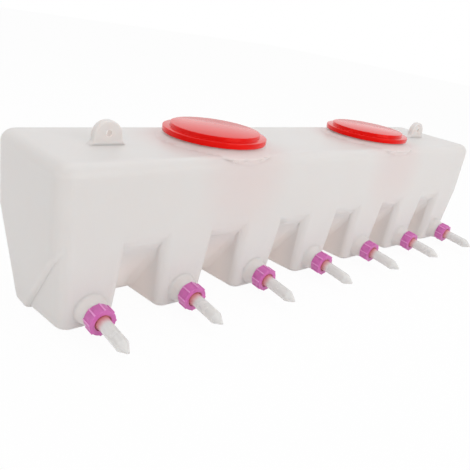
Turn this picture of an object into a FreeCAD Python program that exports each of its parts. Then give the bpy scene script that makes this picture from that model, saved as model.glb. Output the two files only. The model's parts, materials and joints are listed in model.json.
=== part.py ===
import FreeCAD, Part
import math
import os
from FreeCAD import Placement, Rotation, Vector
import Sketcher

# Trough feeder for seven calves: one hollow rotomoulded tank with seven pockets below,
# a threaded spout on each pocket that carries a flap valve, a teat and a ribbed union nut,
# and two push-on lids on wide filler necks.
# Frame: X along the tank, Y to the back, Z up. The origin is on the floor under the middle
# pocket, halfway along the depth of the tank's foot. Millimetres.

SIZES = {
    "teat_count": 7,
    "pocket_pitch": 200,
    "end_margin": 73,
    "tank_depth": 267,
    "tank_height": 308,
    "wall": 5,
    "foot_depth": 180,
    "belt_height": 160,
    "valley_depth": 120,
    "corner_round": 30,
    "top_round": 24,
    "kink_round": 30,
    "edge_round": 12,
    "belt_round": 80,
    "pocket_width": 96,
    "pocket_spread": 0.1,
    "pocket_draft": 5,
    "pocket_lap": 45,
    "end_flank": 3,
    "end_round": 26,
    "pocket_rise": 40,
    "pocket_round": 22,
    "foot_round": 14,
    "neck_offset": 274,
    "neck_forward": 11,
    "neck_bore": 97,
    "neck_rim": 103,
    "neck_rise": 20,
    "neck_flare": 130,
    "neck_brim": 3,
    "neck_waist": 114,
    "neck_waist_rise": 5,
    "neck_flare_rise": 12,
    "neck_bulge": 24,
    "lug_inset": 144,
    "lug_forward": 13,
    "lug_width": 58,
    "lug_rise": 45,
    "lug_thickness": 17,
    "lug_foot": 9,
    "lug_round": 4,
    "lug_hole": 6,
    "lug_hole_rise": 22,
    "spout_rise": 41,
    "spout_tilt": 4.3,
    "boss_foot": 32,
    "boss_tip": 24,
    "boss_length": 15,
    "spout_radius": 19.5,
    "spout_bore": 13,
    "spout_length": 16,
    "nut_radius": 24.9,
    "nut_front": 3,
    "nut_mouth": 16,
    "nut_chamfer": 1.2,
    "rib_count": 8,
    "rib_rise": 2.2,
    "rib_width": 3,
    "rib_crest": 1.6,
    "rib_turn": 42,
    "thread_gap": 0.3,
    "seat_gap": 0.5,
    "valve_thickness": 1.6,
    "flap_radius": 8,
    "flap_slit": 0.8,
    "flap_turn": 300,
    "teat_flange": 3.6,
    "teat_radius": 12.4,
    "teat_root": 14,
    "teat_root_length": 10,
    "teat_wall": 2.6,
    "teat_tip_wall": 4,
    "teat_reach": 86,
    "teat_tip": 20,
    "teat_point": 2,
    "teat_outlet": 1,
    "lid_radius": 111,
    "lid_skirt": 11,
    "lid_wall": 3,
    "lid_disc": 96,
    "lid_step": 8,
    "lid_gap": 0.8,
    "lid_plug": 12,
    "lid_bevel": 1.2,
}

doc = FreeCAD.newDocument("calf_feeder")
sheet = doc.addObject("Spreadsheet::Sheet", "Sizes")
for row, (alias, value) in enumerate(SIZES.items(), start=1):
    sheet.set(f"A{row}", alias)
    sheet.set(f"B{row}", str(value))
    sheet.setAlias(f"B{row}", alias)
doc.recompute()


class Size:
    """A value together with the sheet formula that it comes from."""

    def __init__(self, value, text):
        self.value = value
        self.text = text

    def __add__(self, other):
        other = as_size(other)
        return Size(self.value + other.value, f"({self.text} + {other.text})")

    def __sub__(self, other):
        other = as_size(other)
        return Size(self.value - other.value, f"({self.text} - {other.text})")

    def __mul__(self, other):
        other = as_size(other)
        return Size(self.value * other.value, f"({self.text} * {other.text})")

    def __truediv__(self, other):
        other = as_size(other)
        return Size(self.value / other.value, f"({self.text} / {other.text})")

    def __neg__(self):
        return Size(-self.value, f"(0 - {self.text})")

    def lean(self):
        """The length of a slope that runs this far for each unit that it rises."""
        return Size(math.hypot(1, self.value), f"sqrt(1 + {self.text} * {self.text})")


def as_size(number):
    return number if isinstance(number, Size) else Size(number, str(number))


def size(alias):
    return Size(float(sheet.get(alias)), f"Sizes.{alias}")


ZERO = Size(0.0, "0")
NEAR = 0.01  # lengths this close count as equal
PAST = 2  # a cutting form runs this many times past what it cuts
wall = size("wall")
half_length = size("pocket_pitch") * (size("teat_count") - 1) / 2 + size("end_margin")
front = -size("foot_depth") / 2
back = front + size("tank_depth")
middle = front + size("tank_depth") / 2
belt = size("belt_height")
tank_top = size("tank_height")
slope = size("valley_depth") / belt
spout_end = size("boss_length") + size("spout_length")
teat_seat = spout_end + size("valve_thickness")
nut_seat = size("boss_length") + size("seat_gap")
nut_shoulder = teat_seat + size("teat_flange") - nut_seat
nut_length = nut_shoulder + size("nut_front")
spout_tip = size("spout_tilt") + 90
tilt = math.radians(size("spout_tilt").value)
ahead = Size(math.cos(tilt), "cos(Sizes.spout_tilt * 1deg)")
drop = Size(math.sin(tilt), "sin(Sizes.spout_tilt * 1deg)")
lean = drop / ahead
spout_set = lean * (belt - size("spout_rise"))
rim = tank_top + size("neck_rise")


def bind(thing, path, amount):
    thing.setExpression(path, as_size(amount).text)


def origin_plane(body, role):
    return next(feature for feature in body.Origin.OriginFeatures if feature.Role == role)


def new_body(name):
    return doc.addObject("PartDesign::Body", name)


def new_sketch(body, name, role, lift=ZERO):
    """An empty sketch on one of the body's own origin planes, lifted along its normal."""
    sketch = body.newObject("Sketcher::SketchObject", name)
    sketch.AttachmentSupport = (origin_plane(body, role), "")
    sketch.MapMode = "FlatFace"
    sketch.AttachmentOffset = Placement(Vector(0, 0, lift.value), Rotation())
    bind(sketch, "AttachmentOffset.Base.z", lift)
    return sketch


def pin_point(sketch, curve, end, name, point):
    """Hold one end of a curve at a named place."""
    for axis, letter, amount in zip(("DistanceX", "DistanceY"), "xy", point):
        amount = as_size(amount)
        row = sketch.addConstraint(Sketcher.Constraint(axis, -1, 1, curve, end, amount.value))
        sketch.renameConstraint(row, f"{name}_{letter}")
        bind(sketch, f"Constraints.{name}_{letter}", amount)


def outline(body, name, role, points, lift=ZERO):
    """A closed polygon whose corners are tied to the sheet."""
    sketch = new_sketch(body, name, role, lift)
    places = [Vector(as_size(x).value, as_size(y).value, 0) for x, y in points]
    for start, end in zip(places, places[1:] + places[:1]):
        sketch.addGeometry(Part.LineSegment(start, end), False)
    for index, point in enumerate(points):
        previous = (index - 1) % len(points)
        sketch.addConstraint(Sketcher.Constraint("Coincident", previous, 2, index, 1))
        pin_point(sketch, index, 1, f"p{index}", point)
    return sketch


def disc(body, name, role, centre, radius, lift=ZERO):
    """A circle tied to the sheet."""
    sketch = new_sketch(body, name, role, lift)
    place = Vector(as_size(centre[0]).value, as_size(centre[1]).value, 0)
    sketch.addGeometry(Part.Circle(place, Vector(0, 0, 1), radius.value), False)
    pin_point(sketch, 0, 3, "centre", centre)
    row = sketch.addConstraint(Sketcher.Constraint("Radius", 0, radius.value))
    sketch.renameConstraint(row, "radius")
    bind(sketch, "Constraints.radius", radius)
    return sketch


def pad(body, sketch, length, symmetric=False):
    feature = body.newObject("PartDesign::Pad", sketch.Name + "Pad")
    feature.Profile = sketch
    feature.SideType = "Symmetric" if symmetric else "One side"
    bind(feature, "Length", length)
    return feature


def turn(body, name, points, kind="PartDesign::Revolution"):
    """A full turn of a (radius, height) outline about the body's own Z axis."""
    sketch = outline(body, name, "XZ_Plane", points)
    feature = body.newObject(kind, name + "Turn")
    feature.Profile = sketch
    feature.ReferenceAxis = (sketch, ["V_Axis"])
    feature.Angle = 360
    return feature


def soften(name, base, picks):
    """Round each edge by the radius of the first pick that chooses it."""
    doc.recompute()
    rows = []
    for index, edge in enumerate(base.Shape.Edges, start=1):
        radius = next((radius.value for chooses, radius in picks if chooses(edge)), None)
        if radius:
            rows.append((index, radius, radius))
    feature = doc.addObject("Part::Fillet", name)
    feature.Base = base
    feature.Edges = rows
    return feature


def join(name, pieces):
    feature = doc.addObject("Part::MultiFuse", name)
    feature.Shapes = pieces
    feature.Refine = False
    return feature


def cut(name, base, tool):
    feature = doc.addObject("Part::Cut", name)
    feature.Base = base
    feature.Tool = tool
    feature.Refine = False
    return feature


def place(thing, x=ZERO, y=ZERO, z=ZERO, tip=None):
    """Put a piece at a place, with its own Z axis tipped about X where asked."""
    turned = Rotation(Vector(1, 0, 0), tip.value) if tip else Rotation()
    thing.Placement = Placement(Vector(x.value, y.value, z.value), turned)
    for letter, amount in zip("xyz", (x, y, z)):
        bind(thing, f"Placement.Base.{letter}", amount)
    if tip:
        bind(thing, "Placement.Rotation.Angle", tip)


def near(first, second):
    return abs(first - second) < NEAR


def thin(edge, axis):
    return getattr(edge.BoundBox, axis + "Length") < NEAR


def upright_end(edge):
    """An end's upright edges: the front and back corners, and the back's slope."""
    upright = thin(edge, "Y") or edge.BoundBox.YMin > -front.value - wall.value * PAST
    return thin(edge, "X") and not thin(edge, "Z") and upright


def kink(edge):
    """A bend halfway up the side profile, in front or at the back."""
    margin = wall.value * PAST
    between = margin < edge.BoundBox.ZMin < tank_top.value - margin
    return thin(edge, "Z") and thin(edge, "Y") and between


def front_kink(edge):
    return kink(edge) and edge.BoundBox.YMin < 0


def back_kink(edge):
    return kink(edge) and edge.BoundBox.YMin > 0


def top_rim(edge):
    return thin(edge, "Z") and edge.BoundBox.ZMin > tank_top.value - wall.value * PAST


def under_edge(edge):
    """The edges round the sloping underside and the strip that the back stands on."""
    box = edge.BoundBox
    on_floor = box.ZMax < wall.value + NEAR
    on_roof = box.YMax < front.value + (size("valley_depth") + wall * PAST).value
    return on_floor or (on_roof and box.ZMax < belt.value + wall.value and not thin(edge, "Z"))




def make_shell(name, inset):
    """The upper trough with its sloping underside, drawn in by an even inset."""
    body = new_body(name)
    rise = belt / size("valley_depth")
    run = (back + front) / belt
    roof_lift = inset * rise.lean()
    back_pull = inset * run.lean()
    side = [
        (front + inset, belt + roof_lift - inset * rise),
        (front + (belt + roof_lift - inset) / rise, inset),
        (-front + inset * run - back_pull, inset),
        (back - inset, (back - inset + front + back_pull) / run),
        (back - inset, tank_top - inset),
        (front + inset, tank_top - inset),
    ]
    sketch = outline(body, f"{name}_side", "YZ_Plane", side)
    pad(body, sketch, (half_length - inset) * 2, symmetric=True)
    corner = size("corner_round") - inset
    back_bend = size("kink_round") - inset
    front_bend = size("belt_round") - inset
    edge = size("edge_round") - inset
    rim_round = size("top_round") - inset
    bends = [(upright_end, corner), (front_kink, front_bend), (back_kink, back_bend)]
    cornered = soften(f"{name}_corners", body, bends)
    topped = soften(f"{name}_top", cornered, [(top_rim, rim_round)])
    return soften(f"{name}_form", topped, [(under_edge, edge)])


def pocket_corner(edge):
    """The upright corners in front, both above and below the belt."""
    in_front = edge.BoundBox.YMax < (front + wall * PAST + lean * belt).value
    return in_front and not thin(edge, "Z")


def pocket_foot(edge):
    return edge.BoundBox.ZMax < wall.value + NEAR and edge.BoundBox.YMin < ZERO.value


def make_pocket(name, inset, end=0):
    """One pocket: narrow in front, wider behind and above, its back hidden in the shell.

    An end pocket is wider on its outer side, where it runs into the shell's end face.
    """
    body = new_body(name)
    spread = size("pocket_spread")
    reach = size("valley_depth") + size("pocket_lap") - inset * slope.lean()
    top = belt + size("pocket_rise") - inset
    edge_line = size("pocket_width") / 2 - inset * spread.lean()
    near_half = edge_line + spread * inset
    far_half = edge_line + spread * reach
    left = size("end_flank") if end < 0 else ZERO
    right = size("end_flank") if end > 0 else ZERO
    plan = [
        (-near_half - left, front + inset),
        (near_half + right, front + inset),
        (far_half + right, front + reach),
        (-far_half - left, front + reach),
    ]
    block = pad(body, outline(body, f"{name}_plan", "XY_Plane", plan, inset), top - inset)
    doc.recompute()
    sides = [
        f"Face{index}"
        for index, face in enumerate(block.Shape.Faces, start=1)
        if not thin(face, "Y") and not thin(face, "Z")
    ]
    draft = body.newObject("PartDesign::Draft", f"{name}_draft")
    draft.Base = (block, sides)
    draft.NeutralPlane = (origin_plane(body, "XY_Plane"), [""])
    draft.Reversed = True
    bind(draft, "Angle", size("pocket_draft"))
    clear = size("pocket_lap")
    lap = [
        (front + reach, ZERO),
        (front + reach + clear, ZERO),
        (front + reach + clear, top + clear),
        (front + reach - (top + clear) * slope, top + clear),
    ]
    lap_cut = body.newObject("PartDesign::Pocket", f"{name}_lap_cut")
    lap_cut.Profile = outline(body, f"{name}_lap", "YZ_Plane", lap)
    lap_cut.SideType = "Symmetric"
    bind(lap_cut, "Length", far_half * 2 * PAST)
    lean_side = [
        (front + inset, belt),
        (front + inset + lean * belt, ZERO),
        (front - clear, ZERO),
        (front - clear, belt),
    ]
    lean_cut = body.newObject("PartDesign::Pocket", f"{name}_lean_cut")
    lean_cut.Profile = outline(body, f"{name}_lean", "YZ_Plane", lean_side)
    lean_cut.SideType = "Symmetric"
    bind(lean_cut, "Length", far_half * 2 * PAST)

    def end_corner(edge):
        return pocket_corner(edge) and edge.BoundBox.Center.x * end > 0

    outer = size("end_round") - inset
    upright = size("pocket_round") - inset
    foot = size("foot_round") - inset
    corners = soften(f"{name}_corners", body, [(end_corner, outer), (pocket_corner, upright)])
    return soften(f"{name}_form", corners, [(pocket_foot, foot)])


def make_spout():
    """The boss under the nut and the spout that its thread is on, along the body's own Z."""
    body = new_body("spout")
    root = size("boss_foot")
    rings = [
        (ZERO, -root),
        (root, -root),
        (root, -spout_set),
        (size("boss_tip"), size("boss_length")),
        (size("spout_radius"), size("boss_length")),
        (size("spout_radius"), spout_end),
        (ZERO, spout_end),
    ]
    turn(body, "SpoutForm", rings)
    place(body, y=front, z=size("spout_rise"), tip=spout_tip)
    return body


def make_spout_bore():
    body = new_body("spout_bore")
    root = size("boss_foot") - wall * 2
    rings = [
        (ZERO, -root * PAST),
        (root, -root * PAST),
        (root, -spout_set - wall),
        (size("spout_bore"), size("boss_length") - wall),
        (size("spout_bore"), spout_end + wall),
        (ZERO, spout_end + wall),
    ]
    turn(body, "BoreForm", rings)
    place(body, y=front, z=size("spout_rise"), tip=spout_tip)
    return body


def make_neck(side):
    """A filler neck that flares into the tank's top and bulges over its front face."""
    body = new_body(f"neck_{side}")
    flare = size("neck_flare")
    throat = size("neck_rim")
    rings = [
        (ZERO, -size("neck_bulge")),
        (flare - size("neck_forward"), -size("neck_bulge")),
        (flare, -size("neck_brim")),
        (size("neck_waist"), size("neck_waist_rise")),
        (throat, size("neck_flare_rise")),
        (throat, size("neck_rise")),
        (ZERO, size("neck_rise")),
    ]
    turn(body, "NeckForm", rings)
    return body


def make_neck_bore(side):
    body = new_body(f"neck_bore_{side}")
    rings = [
        (ZERO, -wall * PAST),
        (size("neck_bore"), -wall * PAST),
        (size("neck_bore"), size("neck_rise") + wall),
        (ZERO, size("neck_rise") + wall),
    ]
    turn(body, "NeckBoreForm", rings)
    return body


def make_lug(side):
    """A half-round hanging tab with a cross hole, on a foot that spreads into the top."""
    body = new_body(f"lug_{side}")
    half = size("lug_width") / 2
    foot = size("lug_foot")
    centre = size("lug_rise") - half
    tab = [
        (-half - foot, -wall),
        (half + foot, -wall),
        (half + foot, ZERO),
        (half, foot),
        (half, centre),
        (-half, centre),
        (-half, foot),
        (-half - foot, ZERO),
    ]
    pad(body, outline(body, "LugFoot", "XZ_Plane", tab), size("lug_thickness"), symmetric=True)
    crown = disc(body, "LugCrown", "XZ_Plane", (ZERO, centre), half)
    tab_form = pad(body, crown, size("lug_thickness"), symmetric=True)
    round_rings(body, tab_form, size("lug_round"), lug_rim)
    hole = body.newObject("PartDesign::Pocket", "LugHole")
    hole.Profile = disc(body, "LugBore", "XZ_Plane", (ZERO, size("lug_hole_rise")), size("lug_hole"))
    hole.SideType = "Symmetric"
    bind(hole, "Length", size("lug_thickness") * PAST)
    return body


def lug_rim(edge):
    """The outline of the tab's two faces, above the tank's top."""
    return thin(edge, "Y") and edge.BoundBox.ZMax > NEAR


def moved(name, source, shift):
    """A link to a form, moved along X."""
    link = doc.addObject("App::Link", name)
    link.LinkedObject = source
    link.LinkTransform = True
    link.LinkPlacement = Placement(Vector(shift.value, 0, 0), Rotation())
    bind(link, "LinkPlacement.Base.x", shift)
    return link


def copies(name, source, count, pitch):
    """A row of links to one form, along X about the middle."""
    first = -pitch * (count - 1) / 2
    return [moved(f"{name}_{index + 1}", source, first + pitch * index) for index in range(count)]


def make_tank():
    """The whole moulding: every form fused, then the even-walled hollow taken out."""
    count = int(size("teat_count").value)
    pitch = size("pocket_pitch")
    outside = [make_shell("shell", ZERO)]
    inside = [make_shell("shell_hollow", wall)]
    for group, name, inset in ((outside, "pocket", ZERO), (inside, "pocket_hollow", wall)):
        group += copies(f"{name}_copy", make_pocket(name, inset), count - 2, pitch)
        for side, sign in (("left", -1), ("right", 1)):
            last = make_pocket(f"{name}_{side}", inset, sign)
            group.append(moved(f"{name}_{side}_copy", last, pitch * (count - 1) / 2 * sign))
    outside += copies("spout_copy", make_spout(), count, pitch)
    inside += copies("spout_bore_copy", make_spout_bore(), count, pitch)
    for side, sign in (("left", -1), ("right", 1)):
        neck = make_neck(side)
        neck_bore = make_neck_bore(side)
        lug = make_lug(side)
        for piece in (neck, neck_bore):
            place(piece, x=size("neck_offset") * sign, y=middle - size("neck_forward"), z=tank_top)
        lug_x = (half_length - size("lug_inset")) * sign
        place(lug, x=lug_x, y=middle - size("lug_forward"), z=tank_top)
        outside += [neck, lug]
        inside.append(neck_bore)
    tank = cut("tank", join("tank_outside", outside), join("tank_inside", inside))
    tank.Label = "tank"
    return tank


def make_lid(side, sign):
    """A push-on lid: raised disc, flange with a hanging skirt, and a plug inside the neck."""
    body = new_body(f"lid_{side}")
    thickness = size("lid_wall")
    plug = size("neck_bore") - size("lid_gap")
    skirt = thickness - size("lid_skirt")
    outer = size("lid_radius")
    disc_top = size("lid_step") + thickness
    step = size("lid_step")
    bevel = size("lid_bevel")
    rings = [
        (ZERO, step),
        (plug - thickness, step),
        (plug - thickness, -size("lid_plug")),
        (plug, -size("lid_plug")),
        (plug, ZERO),
        (outer - thickness, ZERO),
        (outer - thickness, skirt),
        (outer - bevel, skirt),
        (outer, skirt + bevel),
        (outer, thickness - bevel),
        (outer - bevel, thickness),
        (size("lid_disc"), thickness),
        (size("lid_disc"), disc_top - bevel),
        (size("lid_disc") - bevel, disc_top),
        (ZERO, disc_top),
    ]
    turn(body, "LidForm", rings)
    place(body, x=size("neck_offset") * sign, y=middle - size("neck_forward"), z=rim)
    return body


def round_rings(body, base, radius, chooses):
    doc.recompute()
    names = [f"Edge{i}" for i, edge in enumerate(base.Shape.Edges, start=1) if chooses(edge)]
    feature = body.newObject("PartDesign::Fillet", base.Name + "Round")
    feature.Base = (base, names)
    bind(feature, "Radius", radius)
    return feature


def make_nut(index):
    """A union nut: threaded sleeve, front ring with a wide mouth, and grip ribs outside."""
    body = new_body(f"nut_{index}")
    radius = size("nut_radius")
    edge = size("nut_chamfer")
    thread = size("spout_radius") + size("thread_gap")
    rings = [
        (thread, ZERO),
        (radius - edge, ZERO),
        (radius, edge),
        (radius, nut_length - edge),
        (radius - edge, nut_length),
        (size("nut_mouth"), nut_length),
        (size("nut_mouth"), nut_shoulder),
        (thread, nut_shoulder),
    ]
    turn(body, "NutSleeve", rings)
    root = radius - edge
    crest = radius + size("rib_rise")
    half = size("rib_width") / 2
    top_half = size("rib_crest") / 2
    section = [(root, -half), (crest, -top_half), (crest, top_half), (root, half)]
    rib_sketch = outline(body, "NutRib", "XY_Plane", section)
    rib_sketch.AttachmentOffset = Placement(Vector(), Rotation(Vector(0, 0, 1), size("rib_turn").value))
    bind(rib_sketch, "AttachmentOffset.Rotation.Angle", size("rib_turn"))
    rib = pad(body, rib_sketch, nut_length)
    ring = body.newObject("PartDesign::PolarPattern", "NutRibs")
    ring.Originals = [rib]
    ring.Axis = (next(f for f in body.Origin.OriginFeatures if f.Role == "Z_Axis"), [""])
    ring.Angle = 360
    ring.Occurrences = int(size("rib_count").value)
    body.Tip = ring
    return body


def make_teat(index):
    """A hollow silicone teat: clamped flange, thicker root, straight body, pointed tip."""
    body = new_body(f"teat_{index}")
    flange = size("teat_flange")
    face = flange + size("nut_front")
    radius = size("teat_radius")
    bore = radius - size("teat_wall")
    length = face + size("teat_reach")
    shoulder = length - size("teat_tip")
    outlet = size("teat_outlet")
    rings = [
        (bore, ZERO),
        (size("spout_radius"), ZERO),
        (size("spout_radius"), flange),
        (size("teat_root"), flange),
        (size("teat_root"), face),
        (radius, face + size("teat_root_length")),
        (radius, shoulder),
        (size("teat_point"), length),
        (outlet, length),
        (outlet, length - size("teat_tip_wall")),
        (bore, shoulder - size("teat_wall")),
    ]
    turn(body, "TeatForm", rings)
    return body


def make_valve(index):
    """A flat one-piece flap valve: a disc with a slit round most of its middle."""
    body = new_body(f"flap_valve_{index}")
    depth = size("valve_thickness")
    plate = disc(body, "ValvePlate", "XY_Plane", (ZERO, ZERO), size("spout_radius"))
    pad(body, plate, depth)
    inner = size("flap_radius")
    outer = inner + size("flap_slit")
    slit = [(inner, -depth), (outer, -depth), (outer, depth * PAST), (inner, depth * PAST)]
    groove = turn(body, "ValveSlit", slit, kind="PartDesign::Groove")
    bind(groove, "Angle", size("flap_turn"))
    return body


def along_spout(body, index, reach):
    """Stand a piece on its spout's axis, at a reach from the pocket's front face."""
    middle_index = (size("teat_count") - 1) / 2
    x = size("pocket_pitch") * (as_size(index - 1) - middle_index)
    place(body, x=x, y=front, z=size("spout_rise"), tip=spout_tip)
    bind(body, "Placement.Base.y", front - reach * ahead)
    bind(body, "Placement.Base.z", size("spout_rise") - reach * drop)


def make_parts():
    nodes = [make_tank()]
    for side, sign in (("left", -1), ("right", 1)):
        nodes.append(make_lid(side, sign))
    for index in range(1, int(size("teat_count").value) + 1):
        valve, teat, nut = make_valve(index), make_teat(index), make_nut(index)
        along_spout(valve, index, spout_end)
        along_spout(teat, index, teat_seat)
        along_spout(nut, index, nut_seat)
        nodes += [valve, teat, nut]
    return nodes


def check(nodes):
    """Stop before writing if anything failed to build."""
    for thing in doc.Objects:
        if "Invalid" in thing.State or "Error" in thing.State:
            raise RuntimeError(f"{thing.Name} failed: {thing.State}")
    for node in nodes:
        if node.Shape.isNull() or not node.Shape.isValid() or node.Shape.Volume <= 0:
            raise RuntimeError(f"{node.Label} has no valid shape")


parts = make_parts()
doc.recompute()
check(parts)
os.makedirs("parts", exist_ok=True)
for part in parts:
    part.Shape.exportStep(f"parts/{part.Label}.step")
    print(part.Label, len(part.Shape.Solids), round(part.Shape.Volume), part.Shape.BoundBox)
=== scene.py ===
"""Dress the calf trough feeder: its moulded tank, two lids, and seven teats on ribbed nuts."""

import json
import math

import bmesh
import bpy
from bpy.props import FloatProperty, FloatVectorProperty, IntProperty, PointerProperty
from mathutils import Matrix, Vector

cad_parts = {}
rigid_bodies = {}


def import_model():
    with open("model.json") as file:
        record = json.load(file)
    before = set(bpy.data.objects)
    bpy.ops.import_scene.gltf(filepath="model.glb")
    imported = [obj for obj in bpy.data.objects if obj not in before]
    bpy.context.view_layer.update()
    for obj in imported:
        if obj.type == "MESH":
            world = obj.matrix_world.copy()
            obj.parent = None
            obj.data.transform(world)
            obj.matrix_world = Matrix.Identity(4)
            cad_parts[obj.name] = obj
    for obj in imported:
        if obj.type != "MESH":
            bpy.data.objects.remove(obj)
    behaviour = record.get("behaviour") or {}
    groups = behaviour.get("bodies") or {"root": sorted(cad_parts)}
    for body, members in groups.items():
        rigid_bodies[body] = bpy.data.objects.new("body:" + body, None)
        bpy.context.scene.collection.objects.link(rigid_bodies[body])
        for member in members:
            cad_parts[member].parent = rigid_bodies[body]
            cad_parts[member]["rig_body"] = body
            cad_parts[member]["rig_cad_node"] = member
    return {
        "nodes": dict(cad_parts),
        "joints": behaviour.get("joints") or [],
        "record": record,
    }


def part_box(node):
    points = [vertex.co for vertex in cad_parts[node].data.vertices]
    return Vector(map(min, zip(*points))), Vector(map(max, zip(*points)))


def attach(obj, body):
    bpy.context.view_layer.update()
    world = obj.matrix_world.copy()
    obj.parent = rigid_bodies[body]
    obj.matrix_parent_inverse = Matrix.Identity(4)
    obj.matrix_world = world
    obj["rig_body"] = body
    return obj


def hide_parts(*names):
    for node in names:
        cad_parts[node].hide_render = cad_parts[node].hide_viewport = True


bl_info = {
    "name": "Calf Trough Feeder",
    "version": (1, 0, 0),
    "blender": (4, 5, 0),
    "location": "3D Viewport > Sidebar > Feeder",
    "description": "Builds the tank, lids, nuts and teats of a calf trough feeder",
    "category": "Object",
}

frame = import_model()
bpy.ops.object.select_all(action="DESELECT")
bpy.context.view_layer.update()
STATIONS = sorted(name for name in frame["nodes"] if name.startswith("nut_"))
SIDES = ("left", "right")
TURNS = {joint["child"]: joint for joint in frame["joints"] if joint["type"] == "hinge"}
HANGING_HOLE = next(
    mount for mount in frame["record"]["mounts"] if mount["name"] == "hanging_hole_right"
)
WELD = 0.00002
SMOOTH_ANGLE = math.radians(32)
STEEP_BEND = math.radians(60)


def length(label, text, default):
    return FloatProperty(
        name=label, description=text, default=default, min=0.0, unit="LENGTH", precision=4
    )


def amount(label, text, default, most=100.0):
    return FloatProperty(name=label, description=text, default=default, min=0.0, max=most)


def colour(label, text, default):
    return FloatVectorProperty(
        name=label, description=text, default=default, subtype="COLOR", size=3, min=0.0, max=1.0
    )


def linear(red, green, blue):
    """The linear light of a colour written as it is seen, from 0 to 255."""
    seen = [channel / 255 for channel in (red, green, blue)]
    return tuple(c / 12.92 if c <= 0.04045 else ((c + 0.055) / 1.055) ** 2.4 for c in seen)


class FeederTank(bpy.types.PropertyGroup):
    plastic: colour("Plastic", "Natural polyethylene", linear(228, 223, 220))
    # Painted shade: this warmer, darker tint is laid on the valleys. It is also the colour of their
    # painted glow, and noise mixes a little of it in everywhere as cloudy tone.
    valley: colour("Valley", "The plastic where little light reaches it", linear(228, 217, 212))
    # Painted red light: the lids' red put into the plastic's colour round each neck.
    glow: colour("Glow", "The plastic round a neck, with the lid's red in it", linear(228, 205, 202))
    scatter: length("Scatter", "How far light runs inside the plastic", 0.010)
    # Strength of a painted glow: emission in the valleys and the tabs' holes that stands in for light
    # coming through the wall.
    painted_inner_glow: amount("Inner light", "Light that comes through the wall in the valleys", 0.11)
    roughness: amount("Roughness", "Of the moulded skin", 0.42, most=1.0)
    bend: length("Bend", "Softness of the long inner bends between the pockets", 0.012)
    bend_length: length("Bend length", "Shortest inner bend that is softened", 0.1)


class FeederLid(bpy.types.PropertyGroup):
    radius: length("Radius", "Outer radius of the flange", 0.111)
    skirt: length("Skirt", "Height of the flange's side", 0.011)
    wall: length("Wall", "Thickness of the lid", 0.003)
    disc: length("Disc", "Radius of the raised disc", 0.096)
    step: length("Step", "Rise of the disc above the flange", 0.008)
    plug: length("Plug", "Outer radius of the ring inside the neck", 0.0962)
    plug_depth: length("Plug depth", "Reach of that ring below the neck's rim", 0.012)
    edge: length("Edge", "Rounding of the rims", 0.0013)
    red: colour("Red", "The lids' plastic", linear(234, 12, 8))


class FeederNut(bpy.types.PropertyGroup):
    radius: length("Radius", "Sleeve radius between the ribs", 0.0249)
    thread: length("Thread", "Inner radius of the sleeve", 0.0198)
    mouth: length("Mouth", "Radius of the hole that the teat comes out of", 0.016)
    back: length("Back", "From the pocket's front to the nut's back", 0.0155)
    shoulder: length("Shoulder", "From the nut's back to the ledge that holds the teat", 0.0207)
    reach: length("Length", "Length of the nut", 0.0237)
    rib: length("Rib", "Height of a grip rib", 0.0022)
    rib_slope: length("Rib slope", "How far a rib's side leans in from root to crest", 0.0005)
    ribs: IntProperty(name="Ribs", description="Grip ribs round the nut", default=8, min=3, max=24)
    turn: FloatProperty(
        name="Turn", description="Where the first rib stands", default=math.radians(42), subtype="ANGLE"
    )
    edge: length("Edge", "Rounding of the edges", 0.0003)
    purple: colour("Purple", "The nuts' plastic", linear(216, 112, 186))
    # Painted highlight: the paler colour of the ribs' crests.
    painted_crest_highlight: colour("Crest", "The paler crests of the ribs", linear(236, 156, 214))


class FeederTeat(bpy.types.PropertyGroup):
    seat: length("Seat", "From the pocket's front to the flange's back", 0.0326)
    flange: length("Flange", "Thickness of the clamped flange", 0.0036)
    flange_radius: length("Flange radius", "Outer radius of the clamped flange", 0.0195)
    face: length("Face", "From the flange's back to the nut's front", 0.0066)
    root: length("Root radius", "Radius where the teat leaves the nut", 0.014)
    root_length: length("Root length", "Length of the taper behind the body", 0.010)
    radius: length("Radius", "Radius of the teat's body", 0.0124)
    wall: length("Wall", "Thickness of the silicone", 0.0026)
    reach: length("Reach", "From the nut's front to the tip", 0.086)
    tip: length("Tip", "Length of the pointed end", 0.020)
    point: length("Point", "Radius of the blunt point", 0.0022)
    outlet: length("Outlet", "Radius of the milk hole", 0.001)
    sag: length("Sag", "How far the soft tip hangs below its axis", 0.002)
    silicone: colour("Silicone", "The teats", linear(240, 237, 234))
    seal: colour("Seal", "Warm tint at the flange inside the nut", linear(226, 132, 132))


class FeederStage(bpy.types.PropertyGroup):
    floor: length("Floor", "Side of the floor", 24.0)
    front: amount("Front", "Power of the large front light", 30.0)
    side: amount("Side", "Power of the light at the left end", 8.0)
    top: amount("Top", "Power of the overhead light", 22.0)
    daylight: colour("Daylight", "The cooler light from above", (0.93, 0.97, 1.0))
    sky: amount("Sky", "Strength of the even light all round", 0.62)
    paper: amount("Paper", "How far the floor's own white hides its shadow", 0.95, most=1.0)
    lens: amount("Lens", "The camera's focal length in millimetres", 41.8)


# ---- mesh helpers


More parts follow.
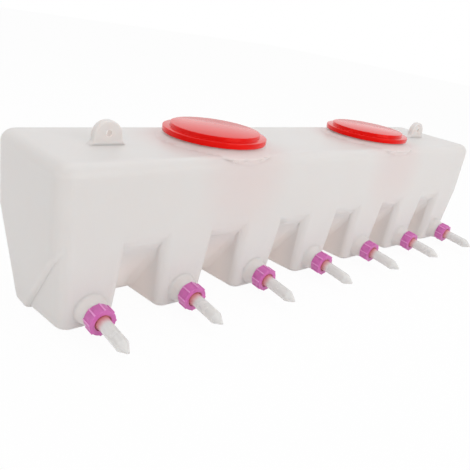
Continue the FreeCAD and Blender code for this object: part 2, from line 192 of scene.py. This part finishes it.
def ring_path(rings, segments, name):
    """Model a turned form as by hand: a circle, extruded and scaled from ring to ring.

    Each ring is (radius, height) or (radius, height, shift), where shift moves it along Y.
    """
    places = [(ring + (0.0,))[:3] for ring in rings]
    radius, height, shift = places[0]
    bpy.ops.mesh.primitive_circle_add(
        vertices=segments, radius=radius, fill_type="NOTHING", location=(0, shift, height)
    )
    piece = bpy.context.active_object
    piece.name = name
    bpy.ops.object.transform_apply(location=True, rotation=True, scale=True)
    bpy.ops.object.mode_set(mode="EDIT")
    bpy.ops.mesh.select_mode(type="VERT")
    bpy.ops.mesh.select_all(action="SELECT")
    for (old, low, back), (new, high, ahead) in zip(places, places[1:]):
        bpy.ops.mesh.extrude_region_move(
            TRANSFORM_OT_translate={"value": (0, ahead - back, high - low)}
        )
        scale = new / old
        bpy.ops.transform.resize(value=(scale, scale, 1), center_override=(0, ahead, high))
    bpy.ops.mesh.select_all(action="SELECT")
    bpy.ops.mesh.remove_doubles(threshold=2 * WELD)
    bpy.ops.mesh.normals_make_consistent(inside=False)
    bpy.ops.object.mode_set(mode="OBJECT")
    return piece


def finish_edges(piece, width, angle=30, segments=3):
    """Round the sharp edges and shade the rest smooth."""
    bevel = piece.modifiers.new("Rounding", "BEVEL")
    bevel.width = width
    bevel.segments = segments
    bevel.limit_method = "ANGLE"
    bevel.angle_limit = math.radians(angle)
    bpy.ops.object.modifier_apply(modifier=bevel.name)
    bpy.ops.object.shade_smooth_by_angle(angle=math.radians(angle))


def stand(piece, matrix):
    """Put a piece in its place and keep that place in its mesh."""
    piece.matrix_world = matrix
    bpy.context.view_layer.update()
    bpy.ops.object.select_all(action="DESELECT")
    piece.select_set(True)
    bpy.context.view_layer.objects.active = piece
    bpy.ops.object.transform_apply(location=True, rotation=True, scale=True)
    piece.select_set(False)


def twin(piece, name):
    """A copy with a mesh of its own."""
    copy = piece.copy()
    copy.data = piece.data.copy()
    copy.name = name
    bpy.context.scene.collection.objects.link(copy)
    return copy


def spout_axis(nut):
    """The line that a station's nut and teat stand on, as a matrix with Z pointing outwards."""
    joint = TURNS[nut]
    outward = Vector(joint["axis"]).normalized()
    across = Vector((1, 0, 0))
    up = outward.cross(across)
    turn = Matrix((across, up, outward)).transposed().to_4x4()
    return Matrix.Translation(Vector(joint["pos_m"])) @ turn


def select_faces(piece, chooses):
    """Enter edit mode with only the chosen faces selected."""
    bpy.ops.object.mode_set(mode="EDIT")
    bpy.ops.mesh.select_mode(type="FACE")
    bpy.ops.mesh.select_all(action="DESELECT")
    mesh = bmesh.from_edit_mesh(piece.data)
    for face in mesh.faces:
        face.select = chooses(face.calc_center_median())
    mesh.select_flush_mode()
    bmesh.update_edit_mesh(piece.data)


# ---- materials


class Graph:
    """A material's nodes, added and wired one line at a time."""

    def __init__(self, name):
        self.material = bpy.data.materials.new(name)
        self.material.use_nodes = True
        self.nodes = self.material.node_tree.nodes
        self.links = self.material.node_tree.links
        self.shader = self.nodes["Principled BSDF"]

    def add(self, kind, settings=None, **inputs):
        node = self.nodes.new(kind)
        for key, value in (settings or {}).items():
            setattr(node, key, value)
        for key, value in inputs.items():
            self.feed(node.inputs[key.replace("_", " ")], value)
        return node

    def feed(self, socket, value):
        if isinstance(value, bpy.types.NodeSocket):
            self.links.new(value, socket)
        elif isinstance(value, tuple) and len(value) == 3 and socket.type == "RGBA":
            socket.default_value = (*value, 1.0)
        else:
            socket.default_value = value

    def place(self):
        return self.add("ShaderNodeTexCoord").outputs["Object"]

    def axes(self, place):
        parts = self.add("ShaderNodeSeparateXYZ", Vector=place)
        return parts.outputs["X"], parts.outputs["Y"], parts.outputs["Z"]

    def math(self, operation, first, second=0.0):
        node = self.add("ShaderNodeMath", {"operation": operation})
        self.feed(node.inputs[0], first)
        self.feed(node.inputs[1], second)
        return node.outputs[0]

    def ramp(self, value, low, high, bottom=0.0, top=1.0):
        """A smooth rise from bottom to top as the value goes from low to high."""
        node = self.add("ShaderNodeMapRange", {"interpolation_type": "SMOOTHSTEP"})
        for index, amount in enumerate((value, low, high, bottom, top)):
            self.feed(node.inputs[index], amount)
        return node.outputs[0]

    def noise(self, place, scale, detail=3.0):
        return self.add("ShaderNodeTexNoise", Vector=place, Scale=scale, Detail=detail).outputs["Fac"]

    def mix(self, share, first, second):
        node = self.add("ShaderNodeMix", {"data_type": "RGBA"})
        self.feed(node.inputs["Factor"], share)
        self.feed(node.inputs[6], first)
        self.feed(node.inputs[7], second)
        return node.outputs[2]

    def vector(self, operation, first, second=None):
        """A vector operation, for its "Vector" or its "Value"."""
        node = self.add("ShaderNodeVectorMath", {"operation": operation})
        self.feed(node.inputs[0], first)
        if second is not None:
            self.feed(node.inputs[1], second)
        return node.outputs

    def hypotenuse(self, first, second):
        """The distance that two distances at a right angle make."""
        squares = [self.math("MULTIPLY", side, side) for side in (first, second)]
        return self.math("SQRT", self.math("ADD", *squares))

    def bump(self, height, strength, distance):
        """A fine relief of the surface."""
        node = self.add("ShaderNodeBump", Height=height, Strength=strength, Distance=distance)
        self.links.new(node.outputs["Normal"], self.shader.inputs["Normal"])

    def set(self, **inputs):
        for key, value in inputs.items():
            self.feed(self.shader.inputs[key.replace("_", " ")], value)


def rgb(value):
    return tuple(value)


def valley_shade(graph, place):
    """One in the deep valleys between the pockets, and nought on the faces in the light."""
    x, y, z = graph.axes(place)
    low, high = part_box("tank")
    limits = (
        graph.ramp(y, low.y + 0.045, low.y + 0.10),
        graph.ramp(z, 0.21, 0.09),
        graph.ramp(y, 0.09, 0.05),
        graph.ramp(graph.math("ABSOLUTE", x), high.x - 0.020, high.x - 0.060),
    )
    shade = limits[0]
    for limit in limits[1:]:
        shade = graph.math("MULTIPLY", shade, limit)
    return shade


def painted_hole_glow(graph, place):
    """A painted glow in the cross holes of the hanging tabs, strongest on their walls."""
    x, _y, z = graph.axes(place)
    centre = HANGING_HOLE["pos_m"]
    aside = graph.math("SUBTRACT", graph.math("ABSOLUTE", x), abs(centre[0]))
    rise = graph.math("SUBTRACT", z, centre[2])
    bore = HANGING_HOLE["dims"]["r_mm"] / 1000
    return graph.ramp(graph.hypotenuse(aside, rise), bore * 1.02, bore * 1.2, 1.4, 0.0)


def painted_lid_red_light(graph, place, side):
    """The share of painted red light from a lid in the plastic's colour, which fades away below and
    round its neck.
    """
    low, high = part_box(f"lid_{side}")
    below = (low + high) / 2 - Vector((0, 0, 0.045))
    shift = graph.vector("SUBTRACT", place, tuple(below))["Vector"]
    squeeze = graph.vector("MULTIPLY", shift, (1.0, 1.0, 0.8))["Vector"]
    return graph.ramp(graph.vector("LENGTH", squeeze)["Value"], 0.11, 0.19, 0.5, 0.0)


def natural_plastic(look):
    """Rotomoulded polyethylene: milky, with a faint orange-peel skin, painted shade and a painted glow
    in the valleys, a painted glow in the tabs' holes and painted red light from the lids round the
    necks.
    """
    graph = Graph("natural_polyethylene")
    place = graph.place()
    cloud = graph.noise(place, 9.0, 4.0)
    skin = graph.mix(graph.ramp(cloud, 0.35, 0.7, 0.0, 0.15), rgb(look.plastic), rgb(look.valley))
    shade = valley_shade(graph, place)
    # Painted shade: the valleys take the warmer, darker valley colour.
    skin = graph.mix(graph.math("MULTIPLY", shade, 0.6), skin, rgb(look.valley))
    for side in SIDES:
        # Painted red light from each lid, fading away from its neck.
        skin = graph.mix(painted_lid_red_light(graph, place, side), skin, rgb(look.glow))
    # Painted glow: the valleys and the tabs' holes emit the valley colour, though no lamp is there.
    inside = graph.math("MAXIMUM", shade, painted_hole_glow(graph, place))
    graph.set(
        Base_Color=skin,
        Roughness=look.roughness,
        IOR=1.5,
        Subsurface_Weight=0.5,
        Subsurface_Radius=(1.0, 0.82, 0.74),
        Subsurface_Scale=look.scatter,
        Emission_Color=rgb(look.valley),
        Emission_Strength=graph.math("MULTIPLY", inside, look.painted_inner_glow),
    )
    graph.bump(graph.noise(place, 260.0, 2.0), 0.08, 0.0008)
    return graph.material


def lid_plastic(look):
    """Glossy injection-moulded plastic with faint flow marks, deep red where it faces the eye."""
    graph = Graph("lid_red")
    place = graph.place()
    flow = graph.noise(place, 12.0, 2.0)
    deep = tuple(channel * 0.93 for channel in rgb(look.red))
    skin = graph.mix(graph.ramp(flow, 0.35, 0.65), rgb(look.red), deep)
    graph.set(
        Base_Color=skin,
        Roughness=graph.ramp(flow, 0.3, 0.7, 0.14, 0.18),
        IOR=1.47,
        Specular_Tint=(1.0, 0.2, 0.16),
    )
    graph.bump(graph.noise(place, 40.0, 1.0), 0.02, 0.0003)
    return graph.material


def from_axis(graph, place, station):
    """The distance from the nearest of the spouts' axes, which stand in a row along X."""
    pitch = spout_axis(STATIONS[1]).translation.x - station.translation.x
    x, _y, _z = graph.axes(place)
    start = graph.math("SUBTRACT", x, station.translation.x - pitch / 2)
    across = graph.math("SUBTRACT", graph.math("FLOORED_MODULO", start, pitch), pitch / 2)
    up = station.col[1].xyz
    rise = graph.vector("DOT_PRODUCT", place, tuple(up))["Value"]
    return graph.hypotenuse(across, graph.math("SUBTRACT", rise, up.dot(station.translation)))


def nut_plastic(look):
    """Satin moulded plastic, with a painted highlight that makes the ribs' crests paler."""
    graph = Graph("nut_orchid")
    place = graph.place()
    fleck = graph.noise(place, 90.0, 3.0)
    deep = tuple(channel * 0.9 for channel in rgb(look.purple))
    skin = graph.mix(graph.ramp(fleck, 0.4, 0.65), rgb(look.purple), deep)
    reach = from_axis(graph, place, spout_axis(STATIONS[0]))
    # Painted highlight: the crests of the ribs take the paler colour.
    painted_crest_highlight = graph.ramp(reach, look.radius + look.rib * 0.3, look.radius + look.rib * 0.9)
    graph.set(
        Base_Color=graph.mix(painted_crest_highlight, skin, rgb(look.painted_crest_highlight)),
        Roughness=graph.ramp(fleck, 0.3, 0.7, 0.30, 0.38),
        IOR=1.5,
        Subsurface_Weight=0.2,
        Subsurface_Radius=(1.0, 0.6, 0.9),
        Subsurface_Scale=0.002,
    )
    graph.bump(graph.noise(place, 400.0, 2.0), 0.03, 0.0003)
    return graph.material


def teat_silicone(look, outward):
    """Frosted clear silicone, with a warm tint where the clamped flange shows inside the nut."""
    graph = Graph("teat_silicone")
    place = graph.place()
    ahead = outward.col[2].xyz
    along = graph.vector("DOT_PRODUCT", place, tuple(ahead))["Value"]
    nut_front = outward.translation.dot(ahead) + look.seat + look.face
    warm = graph.ramp(along, nut_front - 0.001, nut_front + 0.018, 0.9, 0.0)
    haze = graph.ramp(graph.noise(place, 40.0, 2.0), 0.35, 0.7, 0.0, 0.4)
    milky = tuple(channel * 0.94 for channel in rgb(look.silicone))
    skin = graph.mix(haze, rgb(look.silicone), milky)
    graph.set(
        Base_Color=graph.mix(warm, skin, rgb(look.seal)),
        Roughness=graph.ramp(graph.noise(place, 60.0, 2.0), 0.3, 0.7, 0.22, 0.28),
        IOR=1.41,
        Transmission_Weight=0.08,
        Subsurface_Weight=0.6,
        Subsurface_Radius=(1.0, 0.95, 0.9),
        Subsurface_Scale=0.004,
        Coat_Weight=0.2,
        Coat_Roughness=0.1,
    )
    graph.bump(graph.noise(place, 300.0, 2.0), 0.02, 0.0003)
    return graph.material


def valve_rubber(look):
    """Matt soft rubber in the warm tint of the seal."""
    graph = Graph("valve_silicone")
    place = graph.place()
    grain = graph.noise(place, 400.0, 3.0)
    pale = tuple(min(channel * 1.2, 1.0) for channel in rgb(look.seal))
    graph.set(Base_Color=graph.mix(grain, rgb(look.seal), pale), Roughness=0.55)
    graph.bump(grain, 0.08, 0.0002)
    return graph.material


def coat(piece, material):
    piece.data.materials.clear()
    piece.data.materials.append(material)


# ---- operators


class FEEDER_OT_tank(bpy.types.Operator):
    """Smooth and colour the moulded tank"""

    bl_idname = "feeder.tank"
    bl_label = "Tank"

    def soften(self, shell, look):
        """Round the long, steep inner bends where the pockets meet the sloping front."""
        bpy.ops.mesh.select_mode(type="EDGE")
        bpy.ops.mesh.select_all(action="DESELECT")
        mesh = bmesh.from_edit_mesh(shell.data)
        for edge in mesh.edges:
            inner = edge.is_manifold and not edge.is_convex and edge.calc_face_angle() > STEEP_BEND
            edge.select = inner and edge.calc_length() > look.bend_length
        bmesh.update_edit_mesh(shell.data)
        bpy.ops.mesh.bevel(offset=look.bend, segments=6, clamp_overlap=False)

    def execute(self, context):
        look = context.scene.feeder_tank
        shell = twin(frame["nodes"]["tank"], "moulded_tank")
        shell.parent = None
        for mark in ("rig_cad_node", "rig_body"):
            if mark in shell:
                del shell[mark]
        context.view_layer.objects.active = shell
        shell.select_set(True)
        bpy.ops.object.mode_set(mode="EDIT")
        bpy.ops.mesh.select_all(action="SELECT")
        bpy.ops.mesh.remove_doubles(threshold=WELD)
        self.soften(shell, look)
        bpy.ops.object.mode_set(mode="OBJECT")
        bpy.ops.object.shade_smooth_by_angle(angle=SMOOTH_ANGLE)
        even = shell.modifiers.new("Even shading", "WEIGHTED_NORMAL")
        even.keep_sharp = True
        bpy.ops.object.modifier_apply(modifier=even.name)
        shell.select_set(False)
        coat(shell, natural_plastic(look))
        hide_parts("tank")
        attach(shell, "tank")
        return {"FINISHED"}


class FEEDER_OT_lids(bpy.types.Operator):
    """Turn the two stepped lids"""

    bl_idname = "feeder.lids"
    bl_label = "Lids"

    def execute(self, context):
        look = context.scene.feeder_lid
        middle = WELD
        ceiling = look.step
        inner = look.plug - look.wall
        rings = [
            (middle, ceiling),
            (inner, ceiling),
            (inner, -look.plug_depth),
            (look.plug, -look.plug_depth),
            (look.plug, 0.0),
            (look.radius - look.wall, 0.0),
            (look.radius - look.wall, look.wall - look.skirt),
            (look.radius, look.wall - look.skirt),
            (look.radius, look.wall),
            (look.disc, look.wall),
            (look.disc, look.step + look.wall),
            (middle, look.step + look.wall),
        ]
        master = ring_path(rings, 144, "lid")
        finish_edges(master, look.edge)
        coat(master, lid_plastic(look))
        for side in SIDES:
            node = f"lid_{side}"
            low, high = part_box(node)
            rim = low.z + look.plug_depth
            lid = twin(master, f"moulded_{node}")
            stand(lid, Matrix.Translation(((low.x + high.x) / 2, (low.y + high.y) / 2, rim)))
            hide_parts(node)
            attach(lid, node)
        bpy.data.objects.remove(master)
        return {"FINISHED"}


class FEEDER_OT_nuts(bpy.types.Operator):
    """Turn the ribbed union nuts"""

    bl_idname = "feeder.nuts"
    bl_label = "Nuts"

    def execute(self, context):
        look = context.scene.feeder_nut
        around = 12 * look.ribs
        rings = [
            (look.thread, 0.0),
            (look.radius, 0.0),
            (look.radius, look.reach),
            (look.mouth, look.reach),
            (look.mouth, look.shoulder),
            (look.thread, look.shoulder),
            (look.thread, 0.0),
        ]
        master = ring_path(rings, around, "nut")
        pitch = math.tau / look.ribs
        half_rib = math.tau / around

        def on_rib(centre):
            angle = math.atan2(centre.y, centre.x)
            off = abs((angle + pitch / 2) % pitch - pitch / 2)
            outside = centre.xy.length > look.radius * 0.99
            return outside and 0.0 < centre.z < look.reach and off < half_rib

        select_faces(master, on_rib)
        bpy.ops.mesh.inset(thickness=look.rib_slope, depth=look.rib, use_even_offset=True)
        bpy.ops.object.mode_set(mode="OBJECT")
        finish_edges(master, look.edge, angle=25)
        coat(master, nut_plastic(look))
        for nut in STATIONS:
            turn = Matrix.Rotation(look.turn, 4, "Z")
            piece = twin(master, f"ribbed_{nut}")
            stand(piece, spout_axis(nut) @ Matrix.Translation((0, 0, look.back)) @ turn)
            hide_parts(nut)
            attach(piece, nut)
        bpy.data.objects.remove(master)
        return {"FINISHED"}


class FEEDER_OT_teats(bpy.types.Operator):
    """Shape the soft pointed teats"""

    bl_idname = "feeder.teats"
    bl_label = "Teats"

    def execute(self, context):
        look = context.scene.feeder_teat
        bore = look.radius - look.wall
        end = look.face + look.reach
        shoulder = end - look.tip

        def hang(radius, height):
            share = max(height - look.face, 0.0) / look.reach
            return (radius, height, -look.sag * share ** 1.6)

        body = [hang(look.radius, look.face + look.root_length)]
        steps = 8
        first = look.face + look.root_length
        for step in range(1, steps + 1):
            body.append(hang(look.radius, first + (shoulder - first) * step / steps))
        inside = [hang(bore, height) for _radius, height, _shift in reversed(body)]
        tip = [
            hang(look.radius - (look.radius - look.point) * 0.5, shoulder + look.tip * 0.5),
            hang(look.point, end),
            hang(look.outlet, end),
            hang(look.outlet, end - look.wall * 1.5),
        ]
        rings = [(bore, 0.0), (look.flange_radius, 0.0), (look.flange_radius, look.flange)]
        rings += [(look.root, look.flange), (look.root, look.face)]
        rings += body + tip + inside + [(bore, 0.0)]
        master = ring_path(rings, 64, "teat")
        finish_edges(master, 0.0008, angle=24)
        coat(master, teat_silicone(look, spout_axis(STATIONS[0])))
        rubber = valve_rubber(look)
        for nut in STATIONS:
            number = nut.split("_")[-1]
            teat = twin(master, f"soft_teat_{number}")
            stand(teat, spout_axis(nut) @ Matrix.Translation((0, 0, look.seat)))
            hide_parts(f"teat_{number}")
            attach(teat, f"teat_{number}")
            coat(frame["nodes"][f"flap_valve_{number}"], rubber)
        bpy.data.objects.remove(master)
        return {"FINISHED"}


def soft_box(name, place, aim, side, power, tint=(1.0, 1.0, 1.0)):
    """A square studio light that points at the feeder."""
    lamp = bpy.data.lights.new(name, "AREA")
    lamp.shape = "SQUARE"
    lamp.size = side
    lamp.energy = power
    lamp.color = tint
    light = bpy.data.objects.new(name, lamp)
    bpy.context.scene.collection.objects.link(light)
    light.location = place
    light.rotation_euler = (Vector(aim) - Vector(place)).to_track_quat("-Z", "Y").to_euler()


def floor_material(paper):
    """White to the camera, with the object's soft shadow left in it."""
    graph = Graph("studio_floor")
    graph.set(Base_Color=linear(250, 250, 250), Roughness=0.9)
    glow = graph.add("ShaderNodeEmission", Color=(1.0, 1.0, 1.0), Strength=1.0)
    path = graph.add("ShaderNodeLightPath")
    seen = graph.math("MAXIMUM", path.outputs["Is Camera Ray"], path.outputs["Is Transmission Ray"])
    seen = graph.math("MAXIMUM", seen, path.outputs["Is Glossy Ray"])
    blend = graph.add("ShaderNodeMixShader")
    graph.feed(blend.inputs[0], graph.math("MULTIPLY", seen, paper))
    graph.links.new(graph.shader.outputs[0], blend.inputs[1])
    graph.links.new(glow.outputs[0], blend.inputs[2])
    graph.links.new(blend.outputs[0], graph.nodes["Material Output"].inputs["Surface"])
    return graph.material


def even_sky(strength):
    """Even light from all round, and plain white to the camera and in what shines."""
    world = bpy.data.worlds.new("studio_sky")
    world.use_nodes = True
    nodes, links = world.node_tree.nodes, world.node_tree.links
    background = nodes["Background"]
    background.inputs["Color"].default_value = (1, 1, 1, 1)
    path = nodes.new("ShaderNodeLightPath")
    white = path.outputs["Is Camera Ray"]
    for ray in ("Is Transmission Ray", "Is Glossy Ray"):
        either = nodes.new("ShaderNodeMath")
        either.operation = "MAXIMUM"
        links.new(white, either.inputs[0])
        links.new(path.outputs[ray], either.inputs[1])
        white = either.outputs[0]
    level = nodes.new("ShaderNodeMapRange")
    links.new(white, level.inputs["Value"])
    level.inputs["To Min"].default_value = strength
    level.inputs["To Max"].default_value = 1.0
    links.new(level.outputs[0], background.inputs["Strength"])
    bpy.context.scene.world = world


class FEEDER_OT_stage(bpy.types.Operator):
    """Set up the floor, the lights and the camera"""

    bl_idname = "feeder.stage"
    bl_label = "Stage"

    def execute(self, context):
        look = context.scene.feeder_stage
        bpy.ops.mesh.primitive_plane_add(size=look.floor, location=(0, 0, -0.0005))
        floor = context.active_object
        floor.name = "studio_floor"
        coat(floor, floor_material(look.paper))
        middle = (0.0, 0.0, 0.15)
        soft_box("front", (0.2, -3.2, 1.3), middle, 2.4, look.front)
        soft_box("side", (-3.0, 0.3, 1.2), middle, 2.0, look.side)
        soft_box("top", (0.2, 0.6, 3.0), middle, 2.6, look.top, rgb(look.daylight))
        even_sky(look.sky)
        lens = bpy.data.cameras.new("photo_view")
        lens.lens = look.lens
        camera = bpy.data.objects.new("photo_view", lens)
        context.scene.collection.objects.link(camera)
        ahead = Vector((0.6562, 0.6619, -0.3623))
        roll = Matrix.Rotation(math.radians(9.84), 4, "Z")
        turn = ahead.to_track_quat("-Z", "Y").to_matrix().to_4x4()
        camera.matrix_world = Matrix.Translation((-1.027, -0.8396, 0.5529)) @ turn @ roll
        context.scene.camera = camera
        context.scene.view_settings.view_transform = "Standard"
        return {"FINISHED"}


class FEEDER_PT_panel(bpy.types.Panel):
    """The feeder's pieces and their sizes"""

    bl_idname = "FEEDER_PT_panel"
    bl_label = "Calf Trough Feeder"
    bl_space_type = "VIEW_3D"
    bl_region_type = "UI"
    bl_category = "Feeder"

    def draw(self, context):
        for group, operator in PIECES:
            box = self.layout.box()
            box.operator(operator)
            settings = getattr(context.scene, group)
            for name in settings.bl_rna.properties.keys():
                if name not in ("rna_type", "name"):
                    box.prop(settings, name)


PIECES = (
    ("feeder_tank", "feeder.tank"),
    ("feeder_lid", "feeder.lids"),
    ("feeder_nut", "feeder.nuts"),
    ("feeder_teat", "feeder.teats"),
    ("feeder_stage", "feeder.stage"),
)
GROUPS = {
    "feeder_tank": FeederTank,
    "feeder_lid": FeederLid,
    "feeder_nut": FeederNut,
    "feeder_teat": FeederTeat,
    "feeder_stage": FeederStage,
}
CLASSES = (
    *GROUPS.values(),
    FEEDER_OT_tank,
    FEEDER_OT_lids,
    FEEDER_OT_nuts,
    FEEDER_OT_teats,
    FEEDER_OT_stage,
    FEEDER_PT_panel,
)


def register():
    for item in CLASSES:
        bpy.utils.register_class(item)
    for name, group in GROUPS.items():
        setattr(bpy.types.Scene, name, PointerProperty(type=group))


def unregister():
    for name in GROUPS:
        delattr(bpy.types.Scene, name)
    for item in reversed(CLASSES):
        bpy.utils.unregister_class(item)


def main():
    register()
    bpy.ops.feeder.tank()
    bpy.ops.feeder.lids()
    bpy.ops.feeder.nuts()
    bpy.ops.feeder.teats()
    bpy.ops.feeder.stage()


if __name__ == "__main__":
    main()
